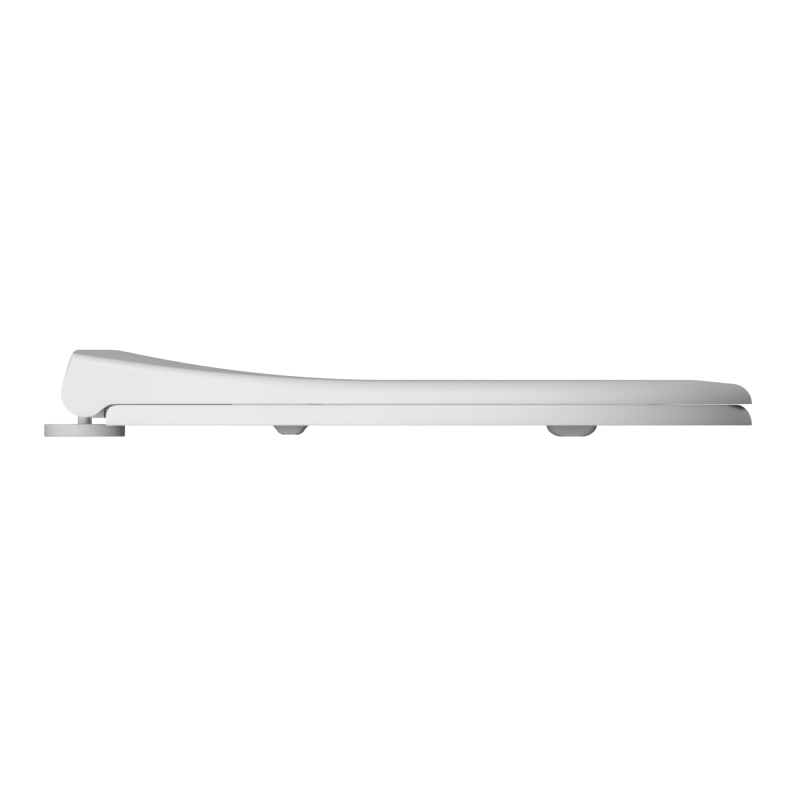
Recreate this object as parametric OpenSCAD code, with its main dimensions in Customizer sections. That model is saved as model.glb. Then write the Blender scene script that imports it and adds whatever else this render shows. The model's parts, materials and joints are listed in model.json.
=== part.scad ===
// Electric bidet seat, in millimetres.
// +X points to the front of the seat, +Z up, and Y runs across.
// The origin lies on the deck of the toilet bowl, midway between the two mounting feet.

/* [Outline] */
// Half of the overall width at the widest point
half_w_max = 182; // [170:1:230]
// Half width of the lid across its hinge cheeks
half_w_tail = 146; // [140:1:150]
// X of the widest point, where the rounded front begins
front_x = 238; // [230:1:260]
// Length of the rounded front, from the widest point to the nose
nose_len = 196.8; // [160:0.1:240]
// Roundness exponent of the front outline
nose_n = 2.3; // [2:0.05:2.6]

/* [Lid] */
// Wall thickness of the lid
lid_wall = 2.6; // [2:0.1:3.2]
// Height of the lid's bottom rim above the deck
lid_rim_z = 21.2; // [21:0.1:23]
// Height of the side crease along the front half
lid_edge_z = 36; // [35:0.1:40]
// Height of the centre line along the front half
lid_top_z = 37; // [36.5:0.1:42]
// Height of the flat hump over the hinge
hump_z = 56.7; // [56:0.1:62]
// Edge radius at the hump
edge_r_rear = 5.5; // [4:0.5:7]
// Edge radius along the front
edge_r_front = 13; // [9:0.5:13.5]

/* [Seat] */
// Underside of the seat
seat_z0 = 7.3; // [7.1:0.1:8]
// Top of the seat
seat_z1 = 20.8; // [20:0.1:20.9]
// X of the rear ends of the seat's arms
seat_x0 = 14.8; // [14.6:0.1:18]
// Half length of the oval opening
hole_a = 145; // [120:1:150]
// Half width of the oval opening
hole_b = 106; // [95:1:112]
// Wall thickness at the seat's lower edge
seat_wall = 3.5; // [3:0.1:4]
// Width over which the outer edge rolls over along the sides
seat_roll_side = 4; // [4:0.5:8]
// Width over which the outer edge rolls over at the nose
seat_roll_nose = 10; // [8:0.5:13]

/* [Hinge] */
// X of the hinge axis
hinge_x = 1.3; // [1:0.1:2]
// Height of the hinge axis
hinge_z = 28.4; // [28:0.1:29]
// Radius of the round cheeks of the lid
cheek_r = 15.7; // [15.5:0.1:16]
// Radius of the hinge barrels of the body
barrel_r = 12.6; // [12:0.1:12.8]
// Radius of the damper shafts, which are the hinge pins
pin_r = 4; // [3:0.1:5]
// Radius of the seat's hinge lugs
lug_r = 9.4; // [8.5:0.1:10]
// Width of a seat hinge lug
lug_w = 15; // [10:1:16]
// Length of a soft-close damper
damper_len = 23; // [15:1:24]

/* [Body] */
// Half width of the body between the seat's arms
body_half = 80; // [79:1:81]
// Wall thickness of the body's shells
body_wall = 2.5; // [2:0.1:3]
// X of the body's front face
body_x1 = 95; // [93:1:100]
// Underside of the body behind the seat
body_z0 = 12.2; // [12:0.1:12.5]
// Underside of the body between the arms
tray_z = 9.2; // [9.1:0.1:9.5]
// Height at which the top cover meets the chassis
split_z = 24; // [23.5:0.1:24.5]

/* [Feet] */
// Distance between the two mounting bolts
bolt_spacing = 155; // [155:1:156]
// Radius of a foot disc
foot_r = 25.7; // [20:0.1:31]
// Height of a foot disc
foot_h = 8.3; // [8:0.1:8.4]
// Radius of a foot's post
post_r = 3.9; // [3.3:0.1:4.4]
// Radius of the tapped hole for an M6 bolt
bolt_hole_r = 3; // [2.5:0.1:3]

/* [Nozzles] */
// Slope of the nozzles below the horizontal, in degrees
nozzle_slope = 20; // [19:0.5:21]
// Radius of a nozzle tube
nozzle_r = 4.5; // [3.8:0.1:4.6]
// Distance between the two nozzle axes
nozzle_gap = 16; // [16:0.5:18]
// Length of a nozzle with its tip
nozzle_len = 68; // [64:1:69]

/* [Controls and internals] */
// Radius of a push button on the cover
button_r = 5.5; // [4.5:0.1:6.8]
// Travel of a push button
button_travel = 1.2; // [0.8:0.1:1.4]
// Radius of the water inlet, a G1/4 male thread
inlet_r = 6.58; // [5:0.01:6.6]
// Radius of the fan rotor
rotor_r = 12.5; // [10:0.1:13]

/* [Hidden] */
$fn = 64;
run_gap = 0.05;      // radial clearance of a running fit
part_gap = 0.3;      // clearance between neighbouring pieces
tail_x = 20;         // the outline is parallel behind this X
hump_x = 198;        // the hump fades out here
hump_k = 0.00063;    // curvature of the hump's centre line
edge_x = 207;        // the crease's rise fades out here
edge_k = 0.000395;   // curvature of the crease
lean = 17;           // backward lean of the rear wall, in degrees
wall_rim_z = 39.5;   // lower rim of the lid's rear wall
plate_t = 2.4;       // thickness of the seat's underside plate
lid_in = half_w_tail - lid_wall;
lid_bush_w = 9;
lug_y1 = lid_in - lid_bush_w - 1.2;
lug_y0 = lug_y1 - lug_w;
barrel_end = lug_y0 - 1;
post_y = bolt_spacing / 2;
post_top = 22;
channel = body_half + 4;
hole_x = seat_x0 + 200.2;
hole_n = 2.2;
box_x0 = 4.5;
box_x1 = 13.5;
neck_z = 18.9;
tray_x0 = seat_x0 + 0.4;
floor_z = tray_z + body_wall;
inner = body_half - body_wall;
beam_half = 66;
pocket_r = barrel_r - 2.6;
inlet_y = 40;
valve_r = 7;
gland_y = -40;
latch_z = 18;
latch_t = 1.8;
latch_travel = 3.2;
latch_half = 5.5;
nozzle_y = nozzle_gap / 2;
mouth_z = 15.5;
pitch = PI;          // tooth pitch of module 1
teeth = 10;
pinion_pitch_r = teeth / 2;
pinion_at = -21.5;   // pinion centre along the nozzle
rack_line = nozzle_r + 1;
guide_z0 = -15;
guide_z1 = -8.5;
plate_x = 2.6;       // face of the motor plate beside a pinion
plate_w = 2;
fan_x = 68;
fan_y = 57;
port_z = hinge_z - 0.2;      // height of the water inlet and the cord gland
post_seat = 2.3;     // depth of a post in its disc
gasket_t = 1.5;
gasket_r = foot_r - 5.2;
gasket_bore_r = 9;
seat_h = seat_z1 - seat_z0;
inner_r = 8;         // rounding of the opening's edge
seat_screw_xy = [[60, 118], [180, 132], [270, 132]];
bumper_y = 130;
// Side outline of a bumper: X of its middle, lengths at the top, middle and foot, foot height, width in Y.
front_bumper = [317.2, 32, 29.6, 19, 0, 16];
rear_bumper = [134.2, 22.8, 16.5, 10, 1.2, 12];
// Openings of the chassis's front wall: nozzle mouth, dryer outlet, and slots of the deodoriser.
mouth_half = 18;
mouth_top = 23.2;
mouth_floor = tray_z + 1.1;
dryer_y0 = 30;
dryer_y1 = 52;
dryer_z0 = 12.5;
dryer_z1 = 20.5;
duct_x0 = body_x1 - 9;
filter_y0 = -62;
slot_pitch = 5;
louvre_pitch = 4.6;
// Top cover: heights of its front edge, shoulder and flat top, and X of the flat top's ends.
cover_front_z = 34;
cover_shoulder_z = 37.2;
cover_top_z = 49.5;
cover_flat_x0 = -0.5;
cover_flat_x1 = 22;
screw_post = 3.5;    // half side of a cover screw's post
button_x = 50;
button_y = 24;
window_z = 30;       // height of the seat sensor window
tank_x0 = 20;
tank_x1 = 50;
tank_y0 = 28;
tank_y1 = 69;
tank_z1 = 34;
tank_wall = 2;
tube_r = 2.9;
tube_z = 41.4;       // height of the inlet tube's run over the tank
outlet_at = [37, 20];        // X and Z of the warm water outlet
fill_x = 27;         // X at which the inlet tube enters the tank
board_lo = [26, -74];
board_hi = [72, -36];
board_t = 1.6;
power_z = floor_z + 2;
main_z = power_z + 15;
fan_wall = 3.5;

// ---------- shared geometry ----------

// Both halves of something drawn on the +Y side.
module both() {
    children();
    mirror([0, 1, 0]) children();
}

// Extrudes an XZ outline across Y from y0 to y1.
module span_y(y0, y1) {
    translate([0, y1, 0]) rotate([90, 0, 0]) linear_extrude(y1 - y0) children();
}

// A cylinder along +Y.
module rod_y(x, z, r, y0, y1) {
    translate([x, y0, z]) rotate([-90, 0, 0]) cylinder(h = y1 - y0, r = r);
}

// A cylinder along +X.
module rod_x(y, z, r, x0, x1) {
    translate([x0, y, z]) rotate([0, 90, 0]) cylinder(h = x1 - x0, r = r);
}

// A box given by its low and high corners.
module block(lo, hi) {
    translate(lo) cube(hi - lo);
}

// The frame of a nozzle: +Z runs out along the nozzle, +X points down.
module nozzle_frame(side) {
    translate([body_x1, side * nozzle_y, mouth_z]) rotate([0, 90 + nozzle_slope, 0]) children();
}

// Half width of the outline at x, moved inward by d.
function half_w(x, d = 0) =
    x <= tail_x ? half_w_tail - d :
    half_w_max - d - (half_w_max - half_w_tail) / 2 * (1 - cos(180 * (front_x - x) / (front_x - tail_x)));

// A point of the rounded front; t runs from 90 at the widest point to 0 at the nose.
function nose_pt(t, d = 0) = [
    front_x + (nose_len - d) * pow(max(cos(t), 0), 2 / nose_n),
    (half_w_max - d) * pow(max(sin(t), 0), 2 / nose_n)
];

// A point of the oval opening, made larger by d.
function hole_pt(t, d = 0) = [
    hole_x + (hole_a + d) * sign(cos(t)) * pow(abs(cos(t)), 2 / hole_n),
    (hole_b + d) * pow(max(sin(t), 0), 2 / hole_n)
];

function reversed(list) = [for (i = [len(list) - 1 : -1 : 0]) list[i]];

// Completes a list of points on the +Y side, rear to nose, with its mirror image.
function full_loop(side) = concat(
    [for (p = side) len(p) == 3 ? [p.x, -p.y, p.z] : [p.x, -p.y]],
    reversed([for (i = [0 : len(side) - 2]) side[i]])
);

// ---------- seat ----------

// Angle at which the oval opening meets the channel between the arms.
hole_t0 = 180 - asin(pow(channel / hole_b, hole_n / 2));
hole_x0 = hole_pt(hole_t0).x;
nose_ts = [90, 80, 70, 60, 50, 40, 30, 20, 12, 6, 2, 0];
oval_ts = [for (i = [1 : 6]) hole_t0 + (90 - hole_t0) * i / 6];

// Outer edge and opening edge of the ring, rear to nose, moved into the ring by a and b.
function outer_side(a) = concat(
    [for (x = [seat_x0 + a, 40, 70, 100, 130, 160, 190, 215]) [x, half_w(x, a)]],
    [for (t = nose_ts) nose_pt(t, a)]
);
function inner_side(b) = concat(
    [[seat_x0 + b, channel + b], [hole_x0, channel + b]],
    [for (t = oval_ts) hole_pt(t, b)],
    [for (t = nose_ts) hole_pt(t, b)]
);

// The flat U-shaped outline of the ring, moved inward all round by a.
module ring_outline(a) {
    polygon(concat(full_loop(outer_side(a)), reversed(full_loop(inner_side(a)))));
}

// Stations of the ring from the rear end of an arm to the nose: [outer point, inner point, height share].
arm_steps = [[0, 0.55], [1.2, 0.76], [3, 0.89], [5.5, 0.97], [8.5, 1], [40, 1], [72, 1]];
function ring_stations() = concat(
    [for (s = arm_steps) let (x = seat_x0 + s[0]) [[x, half_w(x)], [x, channel], s[1]]],
    [[[hole_x0, half_w(hole_x0)], [hole_x0, channel], 1]],
    [for (i = [0 : 4]) let (x = hole_x0 + (front_x - hole_x0) * (i + 1) / 6)
        [[x, half_w(x)], hole_pt(oval_ts[i]), 1]],
    [for (t = nose_ts) [nose_pt(t), hole_pt(t), 1]]
);

// Closed section of the ring at one station, as points in space.
function ring_section(s) =
    let (o = s[0], w = norm(s[1] - s[0]), e = (s[1] - s[0]) / w,
        roll = seat_roll_side + (seat_roll_nose - seat_roll_side) * smooth((o.x - 270) / 150))
    concat(
        [for (f = [0, 15, 32, 50, 70, 90])
            let (p = o + e * roll * (1 - cos(f))) [p.x, p.y, seat_z0 + seat_h * sin(f) * s[2]]],
        [for (f = [90, 60, 30, 0])
            let (p = o + e * (w - inner_r * (1 - cos(f))))
            [p.x, p.y, seat_z0 + (seat_h - inner_r * (1 - sin(f))) * s[2]]],
        [[s[1].x, s[1].y, seat_z0]]
    );

// Solid lofted through sections that all have the same number of points.
module loft(sections) {
    n = len(sections[0]);
    m = len(sections);
    polyhedron(
        points = [for (s = sections) each s],
        faces = concat(
            [[for (i = [n - 1 : -1 : 0]) i]],
            [[for (i = [0 : n - 1]) (m - 1) * n + i]],
            [for (j = [0 : m - 2], i = [0 : n - 1])
                let (a = j * n + i, b = j * n + (i + 1) % n)
                each [[a, b + n, a + n], [a, b, b + n]]]
        )
    );
}

module seat_ring() {
    half = [for (s = ring_stations()) ring_section(s)];
    left = [for (sec = half) [for (p = sec) [p.x, -p.y, p.z]]];
    loft(concat(left, reversed([for (i = [0 : len(half) - 2]) half[i]])));
}

module foot_relief() {
    both() translate([0, post_y, -1]) cylinder(h = foot_h + 2, r = foot_r + 1);
}

module lug() {
    span_y(lug_y0, lug_y1) {
        translate([hinge_x, hinge_z]) circle(r = lug_r);
        polygon([
            [hinge_x, hinge_z - lug_r], [seat_x0 + 6, neck_z + 0.2], [seat_x0 + 30, neck_z + 0.2],
            [seat_x0 + 26, seat_z1], [hinge_x + lug_r * sin(30), hinge_z + lug_r * cos(30)]
        ]);
    }
}

module seat_top() {
    color("whitesmoke") difference() {
        union() {
            difference() {
                seat_ring();
                translate([0, 0, seat_z0 - 1]) linear_extrude(6.2) ring_outline(seat_wall);
                translate([0, 0, seat_z0 + 5]) linear_extrude(5.2) ring_outline(seat_wall + 5);
            }
            both() lug();
            seat_screw_places() translate([0, 0, plate_t]) cylinder(h = 8.2, r = 3.6);
        }
        seat_screw_places() cylinder(h = 9.8, r = 1.5);
        // bore of the left lug, which turns on its bush, and of the right lug, which holds the shaft
        rod_y(hinge_x, hinge_z, pin_r + 2, -lug_y1 - 1, -lug_y0 + 1);
        rod_y(hinge_x, hinge_z, pin_r, lug_y0 - 1, lug_y1 + 1);
        foot_relief();
    }
}

module seat_bottom() {
    color("gainsboro") difference() {
        translate([0, 0, seat_z0]) linear_extrude(plate_t) ring_outline(seat_wall + part_gap);
        foot_relief();
        seat_screw_places() translate([0, 0, -1]) cylinder(h = plate_t + 2, r = 1.7);
        seat_screw_places() translate([0, 0, -1]) cylinder(h = 2.6, r = 3.2);
    }
}

module seat_screw_places() {
    for (s = [-1, 1], p = seat_screw_xy)
        translate([p.x, s * p.y, seat_z0]) children();
}

module seat_screws() {
    color("silver") seat_screw_places() {
        translate([0, 0, 0.2]) cylinder(h = 9.2, r = 1.5);
        translate([0, 0, 0.2]) cylinder(h = 1.4, r = 3);
    }
}

module seat_heating_mat() {
    color("goldenrod") translate([0, 0, seat_z0 + 9.4]) difference() {
        linear_extrude(0.7) ring_outline(seat_wall + 5.4);
        translate([0, 0, -seat_z0 - 9.4]) seat_screw_places() cylinder(h = 12, r = 4);
    }
}

module seat_thermostat() {
    x = front_x + nose_len - 42;
    color("dimgray") block([x - 9, -6, seat_z0 + 5.4], [x + 9, 6, seat_z0 + 9.4]);
}

// One bumper: its side outline is a flat boat shape.
module bumper(sizes) {
    x = sizes[0];
    top = sizes[1];
    mid = sizes[2];
    foot = sizes[3];
    z_foot = sizes[4];
    width = sizes[5];
    h = seat_z0 - z_foot;
    span_y(bumper_y - width / 2, bumper_y + width / 2) translate([x, z_foot]) polygon([
        [-foot / 2, 0], [foot / 2, 0], [(foot * 0.35 + mid * 0.65) / 2, h * 0.22], [mid / 2, h * 0.5],
        [(mid + top) / 4, h * 0.8], [top / 2, h], [-top / 2, h], [-(mid + top) / 4, h * 0.8],
        [-mid / 2, h * 0.5], [-(foot * 0.35 + mid * 0.65) / 2, h * 0.22]
    ]);
}

module front_bumpers() {
    color("lightgray") both() bumper(front_bumper);
}

module rear_bumpers() {
    color("lightgray") both() bumper(rear_bumper);
}

module seat_lug_bush() {
    color("ivory") difference() {
        rod_y(hinge_x, hinge_z, pin_r + 2, -lug_y1, -lug_y0);
        rod_y(hinge_x, hinge_z, pin_r + run_gap, -lug_y1 - 1, -lug_y0 + 1);
    }
}

// ---------- lid ----------

function smooth(t) = let (c = min(max(t, 0), 1)) c * c * (3 - 2 * c);
function edge_r(x) = edge_r_rear + (edge_r_front - edge_r_rear) * smooth((x - 40) / 200);
function nose_drop(x) = 1.7 * smooth((x - front_x - nose_len + 43) / 30);
function edge_h(x) = lid_edge_z + edge_k * pow(max(edge_x - x, 0), 2) - nose_drop(x);
function top_h(x) = min(hump_z, lid_top_z + hump_k * pow(max(hump_x - x, 0), 2)) - 2.6 * nose_drop(x) / 1.7;
function crown_h(x, y) = edge_h(x) + (top_h(x) - edge_h(x)) * (1 - pow(y / half_w(min(x, front_x)), 2));
function wall_x(z) = hinge_x - (cheek_r - (z - hinge_z) * sin(lean)) / cos(lean);

// Lower rim of a side wall, rear to the start of the straight rim: round the cheek and up to the seat.
rim_low = concat(
    [[wall_x(wall_rim_z), wall_rim_z]],
    [for (a = [180 - lean, 180, 198, 216, 234, 252, 270, 285, 297])
        [hinge_x + cheek_r * cos(a), hinge_z + cheek_r * sin(a)]],
    [[hinge_x + 13, lid_rim_z - 2.2], [hinge_x + 16.2, lid_rim_z - 0.5], [hinge_x + 21, lid_rim_z]]
);
mid_xs = [30, 45, 62, 80, 100, 125, 150, 180, 210];
cheek_n = len(rim_low);
join_x = hinge_x + 21;

// Rings of the lid from the rim up: [turn of the edge, share of the width inside the edge].
lid_rings = [[-1, 1], [0, 1], [25, 1], [48, 1], [70, 1], [90, 1], [90, 0.72], [90, 0.38], [90, 0]];

// Rear end of a ring on the outer surface.
rear_step = [0, 0, 0.2, 0.5, 0.9, 1.6, 2.6, 3.2, 3.5];

// One side of ring k, rear to nose, for the skin that lies t inside the outer one.
function lid_side(k, t) =
    let (turn = lid_rings[k][0], s = lid_rings[k][1])
    k == 0 ? concat(
        [for (i = [0 : cheek_n - 1]) [rim_low[i].x + (i == 0 ? t : 0), half_w_tail - t, rim_low[i].y]],
        [for (x = mid_xs) [x, half_w(x, t), lid_rim_z]],
        [for (a = nose_ts) let (p = nose_pt(a, t)) [p.x, p.y, lid_rim_z]]
    ) : let (
        z_rear = edge_h(-7) - edge_r_rear * (1 - sin(turn)),
        x_rear = wall_x(z_rear) + rear_step[k] + t
    ) concat(
        [for (i = [0 : cheek_n - 1])
            let (x = x_rear + (join_x - x_rear) * pow(i / (cheek_n - 1), 1.3))
            lid_pt(x, half_w_tail, turn, s, t)],
        [for (x = mid_xs) lid_pt(x, half_w(x), turn, s, t)],
        [for (a = nose_ts) lid_nose_pt(a, turn, s, t)]
    );

// A point of the lid's skin at x, where the outline is w wide.
function lid_pt(x, w, turn, s, t) =
    let (r = edge_r(x), y = (w - r * (1 - cos(turn)) - t) * s)
    [x, y, turn < 90 ? edge_h(x) - r * (1 - sin(turn)) - t * sin(turn) : crown_h(x, y) - t];

// A point of the lid's skin on the rounded front, where the crown ends in a short spine.
function lid_nose_pt(a, turn, s, t) =
    let (d = edge_r_front * (1 - cos(turn)) + t, p = nose_pt(a, d),
        q = [front_x + (p.x - front_x) * (0.7 + 0.3 * s), p.y * s])
    [q.x, q.y,
        turn < 90 ? edge_h(q.x) - edge_r_front * (1 - sin(turn)) - t * sin(turn) : crown_h(q.x, q.y) - t];

// Closed skin between an outer and an inner grid. Ring 0 is the rim, and the last ring is the spine.
module skin(outer, inner_grid) {
    m = len(outer);
    n = len(outer[0]);
    half = (n - 1) / 2;
    size = (m - 1) * n + half + 1;
    points = concat(
        [for (k = [0 : m - 2]) each outer[k]], [for (i = [0 : half]) outer[m - 1][i]],
        [for (k = [0 : m - 2]) each inner_grid[k]], [for (i = [0 : half]) inner_grid[m - 1][i]]
    );
    function id(k, i) = k * n + (k == m - 1 ? min(i % n, n - 1 - i % n) : i % n);
    function quad(a, b, c, d, flip) = flip ? [[a, b, d], [b, c, d]] : [[a, b, c], [a, c, d]];
    walls = [for (k = [0 : m - 2], i = [0 : n - 1])
        let (f = quad(id(k, i), id(k + 1, i), id(k + 1, i + 1), id(k, i + 1), i >= half && i < n - 1))
        for (q = f) if (q[0] != q[1] && q[1] != q[2] && q[0] != q[2]) q];
    rim = [for (i = [0 : n - 1]) let (j = (i + 1) % n) each [[j, i, i + size], [j, i + size, j + size]]];
    polyhedron(
        points = points,
        faces = concat(
            walls,
            [for (q = walls) reversed(q) + [size, size, size]],
            [for (q = rim) reversed(q)]
        )
    );
}

module lid_shell() {
    outer = [for (k = [0 : len(lid_rings) - 1]) full_loop(lid_side(k, 0))];
    inner_grid = [for (k = [0 : len(lid_rings) - 1]) full_loop(lid_side(k, lid_wall))];
    color("white") skin(outer, inner_grid);
}

module lid_bushes() {
    color("ivory") {
        difference() {
            rod_y(hinge_x, hinge_z, barrel_r - 1, lid_in - lid_bush_w, lid_in);
            rod_y(hinge_x, hinge_z, pin_r + run_gap, lid_in - lid_bush_w - 1, lid_in - 2);
        }
        difference() {
            rod_y(hinge_x, hinge_z, barrel_r - 1, -lid_in, lid_bush_w - lid_in);
            rod_y(hinge_x, hinge_z, pin_r, 2 - lid_in, lid_bush_w - lid_in + 1);
        }
    }
}

buffer_places = [[150, 0], [nose_len + front_x - 62, -45]];

module lid_buffers() {
    color("lightgray") both() for (p = buffer_places) {
        y = half_w(min(p.x, front_x)) - 22 + p.y;
        low = crown_h(p.x + 5, y + 5) - lid_wall - 0.3;
        translate([p.x, y, seat_z1 + part_gap]) cylinder(h = low - seat_z1 - part_gap, r = 5);
    }
}

// ---------- hinge ----------

module seat_damper() {
    color("dimgray") damper();
}

module lid_damper() {
    color("dimgray") mirror([0, 1, 0]) damper();
}

// The soft-close damper of the +Y side: a sealed can with a blind bore for its shaft.
module damper() {
    y1 = barrel_end - 1;
    difference() {
        rod_y(hinge_x, hinge_z, pocket_r, y1 - damper_len, y1);
        rod_y(hinge_x, hinge_z, pin_r + run_gap, y1 - damper_len + 3, y1 + 1);
    }
}

shaft_y0 = barrel_end - damper_len + 3;

module seat_damper_shaft() {
    color("silver") rod_y(hinge_x, hinge_z, pin_r, shaft_y0, lid_in - 2.5);
}

module lid_damper_shaft() {
    color("silver") rod_y(hinge_x, hinge_z, pin_r, 2 - lid_in, -shaft_y0);
}

module foot_discs() {
    color("whitesmoke") both() translate([0, post_y, 0]) difference() {
        union() {
            cylinder(h = foot_h - 0.8, r = foot_r);
            translate([0, 0, foot_h - 0.8]) cylinder(h = 0.8, r = foot_r - 0.8);
        }
        translate([0, 0, -1]) cylinder(h = foot_h + 2, r = bolt_hole_r);
        translate([0, 0, -1]) difference() {
            cylinder(h = 1 + gasket_t, r = gasket_r + 0.2);
            cylinder(h = 1 + gasket_t, r = gasket_bore_r - 0.2);
        }
        translate([0, 0, foot_h - post_seat]) cylinder(h = 3, r = post_r);
    }
}

module foot_gaskets() {
    color("gray") both() translate([0, post_y, 0]) difference() {
        cylinder(h = gasket_t, r = gasket_r);
        translate([0, 0, -1]) cylinder(h = 4, r = gasket_bore_r);
    }
}

module hinge_posts() {
    color("whitesmoke") both() translate([0, post_y, foot_h - post_seat]) difference() {
        cylinder(h = post_top - foot_h + post_seat, r = post_r);
        translate([0, 0, -1]) cylinder(h = 6, r = bolt_hole_r);
        translate([0, 0, latch_z - foot_h + post_seat - 0.3]) difference() {
            cylinder(h = latch_t + 0.6, r = post_r + 1);
            translate([0, 0, -1]) cylinder(h = latch_t + 3, r = post_r - 1);
        }
    }
}

module latch_plate() {
    color("darkgray") difference() {
        block([hinge_x - 10, -latch_half, latch_z], [6, latch_half, latch_z + latch_t]);
        translate([0, 0, latch_z - 1]) cylinder(h = latch_t + 2, r = post_r - 0.9);
        translate([-latch_travel, 0, latch_z - 1]) cylinder(h = latch_t + 2, r = post_r + 0.25);
    }
}

module release_latch_left() {
    translate([0, -post_y, 0]) latch_plate();
}

module release_latch_right() {
    translate([0, post_y, 0]) latch_plate();
}

// ---------- body ----------

module lower_half() {
    intersection() {
        children();
        block([-60, -300, -10], [200, 300, split_z]);
    }
}

module beam(y0, y1) {
    rod_y(hinge_x, hinge_z, barrel_r, y0, y1);
    block([box_x0, y0, body_z0], [box_x1, y1, hinge_z - 6]);
}

module chassis() {
    color("white") difference() {
        union() {
            lower_half() beam(-body_half, body_half);
            both() beam(body_half - 0.01, barrel_end);
            block([tray_x0, -body_half, tray_z], [body_x1, body_half, split_z]);
            block([box_x1 - 2, -body_half, neck_z], [tray_x0 + 1, body_half, split_z]);
        }
        // hollow of the beam, the wiring neck and the tray
        lower_half() rod_y(hinge_x, hinge_z, pocket_r, -beam_half, beam_half);
        block(
            [hinge_x, -beam_half + 4, neck_z + body_wall],
            [tray_x0 + body_wall + 1, beam_half - 4, split_z + 1]
        );
        block([tray_x0 + body_wall, -inner, floor_z], [body_x1 - body_wall, inner, split_z + 1]);
        // damper pockets
        both() rod_y(hinge_x, hinge_z, pocket_r, barrel_end - 1 - damper_len, barrel_end + 1);
        both() translate([0, post_y, 0]) {
            translate([0, 0, body_z0 - 1]) cylinder(h = post_top - body_z0 + 1, r = post_r + run_gap);
            block([-15, -latch_half - 0.2, latch_z - 0.2], [9.6, latch_half + 0.2, latch_z + latch_t + 0.2]);
        }
        // holes in the rear wall for the water inlet and the cord gland
        rod_x(inlet_y, port_z, inlet_r + 3, -20, hinge_x);
        rod_x(gland_y, port_z, 6, -20, hinge_x);
        // mouths in the front wall for the nozzles, the dryer and the deodoriser
        block([body_x1 - 8, -mouth_half, mouth_floor], [body_x1 + 1, mouth_half, mouth_top]);
        block([body_x1 - 5, dryer_y0, dryer_z0], [body_x1 + 1, dryer_y1, dryer_z1]);
        for (i = [0 : 4]) translate([0, filter_y0 + i * slot_pitch, 0])
            block([body_x1 - 5, 0, floor_z + 1], [body_x1 + 1, slot_pitch / 2, split_z - 3]);
        screw_places() cylinder(h = 30, r = 1.6, center = true);
        screw_places() translate([0, 0, tray_z - 1]) cylinder(h = 2.9, r = 3);
    }
    color("white") difference() {
        screw_places() block([-screw_post, -screw_post, floor_z - 0.1], [screw_post, screw_post, split_z]);
        screw_places() cylinder(h = 60, r = 1.6, center = true);
    }
    color("white") for (p = board_posts) translate([p.x, p.y, floor_z - 0.1]) cylinder(h = 2.1, r = 2);
}

module screw_places() {
    for (s = [-1, 1], x = [tray_x0 + 6.5, body_x1 - 6.5])
        translate([x, s * (inner - screw_post), 0]) children();
}

module cover_screws() {
    color("silver") screw_places() translate([0, 0, tray_z + 0.2]) {
        cylinder(h = split_z - tray_z + 5, r = 1.5);
        cylinder(h = 1.6, r = 2.8);
    }
}

// Outline of the top cover in XZ, with its wall moved inward by t.
function cover_outline(t) = concat(
    let (low = split_z - (t > 0 ? 1 : 0))
    [[body_x1 - t, low], [body_x1 - t, cover_front_z - t * 0.3],
        [body_x1 - 2.6 - t * 0.7, cover_shoulder_z - t],
        [cover_flat_x1, cover_top_z - t], [cover_flat_x0 + t * 0.6, cover_top_z - t],
        [-8.2 + t, cover_shoulder_z]],
    [for (a = [150, 165, 180, 193]) [hinge_x + (barrel_r - t) * cos(a), hinge_z + (barrel_r - t) * sin(a)]],
    [[hinge_x - sqrt(pow(barrel_r - t, 2) - pow(hinge_z - split_z, 2)), split_z - (t > 0 ? 1 : 0)]]
);

module top_cover() {
    color("white") difference() {
        union() {
            difference() {
                span_y(-body_half + 0.2, body_half - 0.2) polygon(cover_outline(0));
                span_y(-inner, inner) polygon(cover_outline(body_wall));
            }
            screw_places() block([-screw_post, -screw_post, split_z], [screw_post, screw_post, split_z + 11]);
        }
        screw_places() translate([0, 0, split_z - 1]) cylinder(h = 7, r = 1.5);
        rod_x(inlet_y, port_z, inlet_r + 3, -20, hinge_x);
        rod_x(gland_y, port_z, 6, -20, hinge_x);
        button_places() translate([0, 0, -8]) cylinder(h = 12, r = button_r + 0.15);
        block([button_x - 4.3, -8, 30], [button_x + 4.3, 8, 60]);
        rod_x(0, window_z, 4, body_x1 - 4, body_x1 + 1);
    }
}

// Frame on the sloping top: +Z stands on the surface at the buttons.
cover_slope = atan2(cover_top_z - cover_shoulder_z, body_x1 - 2.6 - cover_flat_x1);
function cover_top(x) = cover_top_z - (x - cover_flat_x1) * tan(cover_slope);

module on_cover(y) {
    translate([button_x, y, cover_top(button_x)]) rotate([0, cover_slope, 0]) children();
}

module button_places() {
    for (y = [-button_y, button_y]) on_cover(y) children();
}

module button() {
    translate([0, 0, -3.2]) cylinder(h = 4.6, r = button_r);
    translate([0, 0, -4.4]) cylinder(h = 1.2, r = button_r + 1.2);
}

module stop_button() {
    color("lightgray") on_cover(-button_y) button();
}

module wash_button() {
    color("lightgray") on_cover(button_y) button();
}

module button_switches() {
    color("dimgray") button_places() difference() {
        union() {
            translate([-4, -9, -9]) cube([8, 18, 3]);
            translate([-4, -9, -9]) cube([8, 1.8, 8.9 - body_wall]);
            translate([-4, 7.2, -9]) cube([8, 1.8, 8.9 - body_wall]);
        }
        translate([0, 0, -4.6 - button_travel]) cylinder(h = 9, r = button_r + 1.5);
    }
}

module status_window() {
    color("darkslategray") on_cover(0) translate([-3.8, -7.8, -2.2]) cube([7.6, 15.6, 2.2]);
}

module seat_sensor_window() {
    color("black") rod_x(0, window_z, 3.9, body_x1 - 2.6, body_x1 - 0.3);
}

module mouth_bezel() {
    color("lightgray") difference() {
        block(
            [body_x1 - 4.6, -mouth_half + 0.1, floor_z + 0.1],
            [body_x1 + 0.8, mouth_half - 0.1, mouth_top - 0.1]
        );
        block(
            [body_x1 - 6, -mouth_half + 1.2, floor_z - 0.5],
            [body_x1 + 2, mouth_half - 1.2, mouth_top - 0.8]
        );
    }
}

// ---------- water ----------

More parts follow.
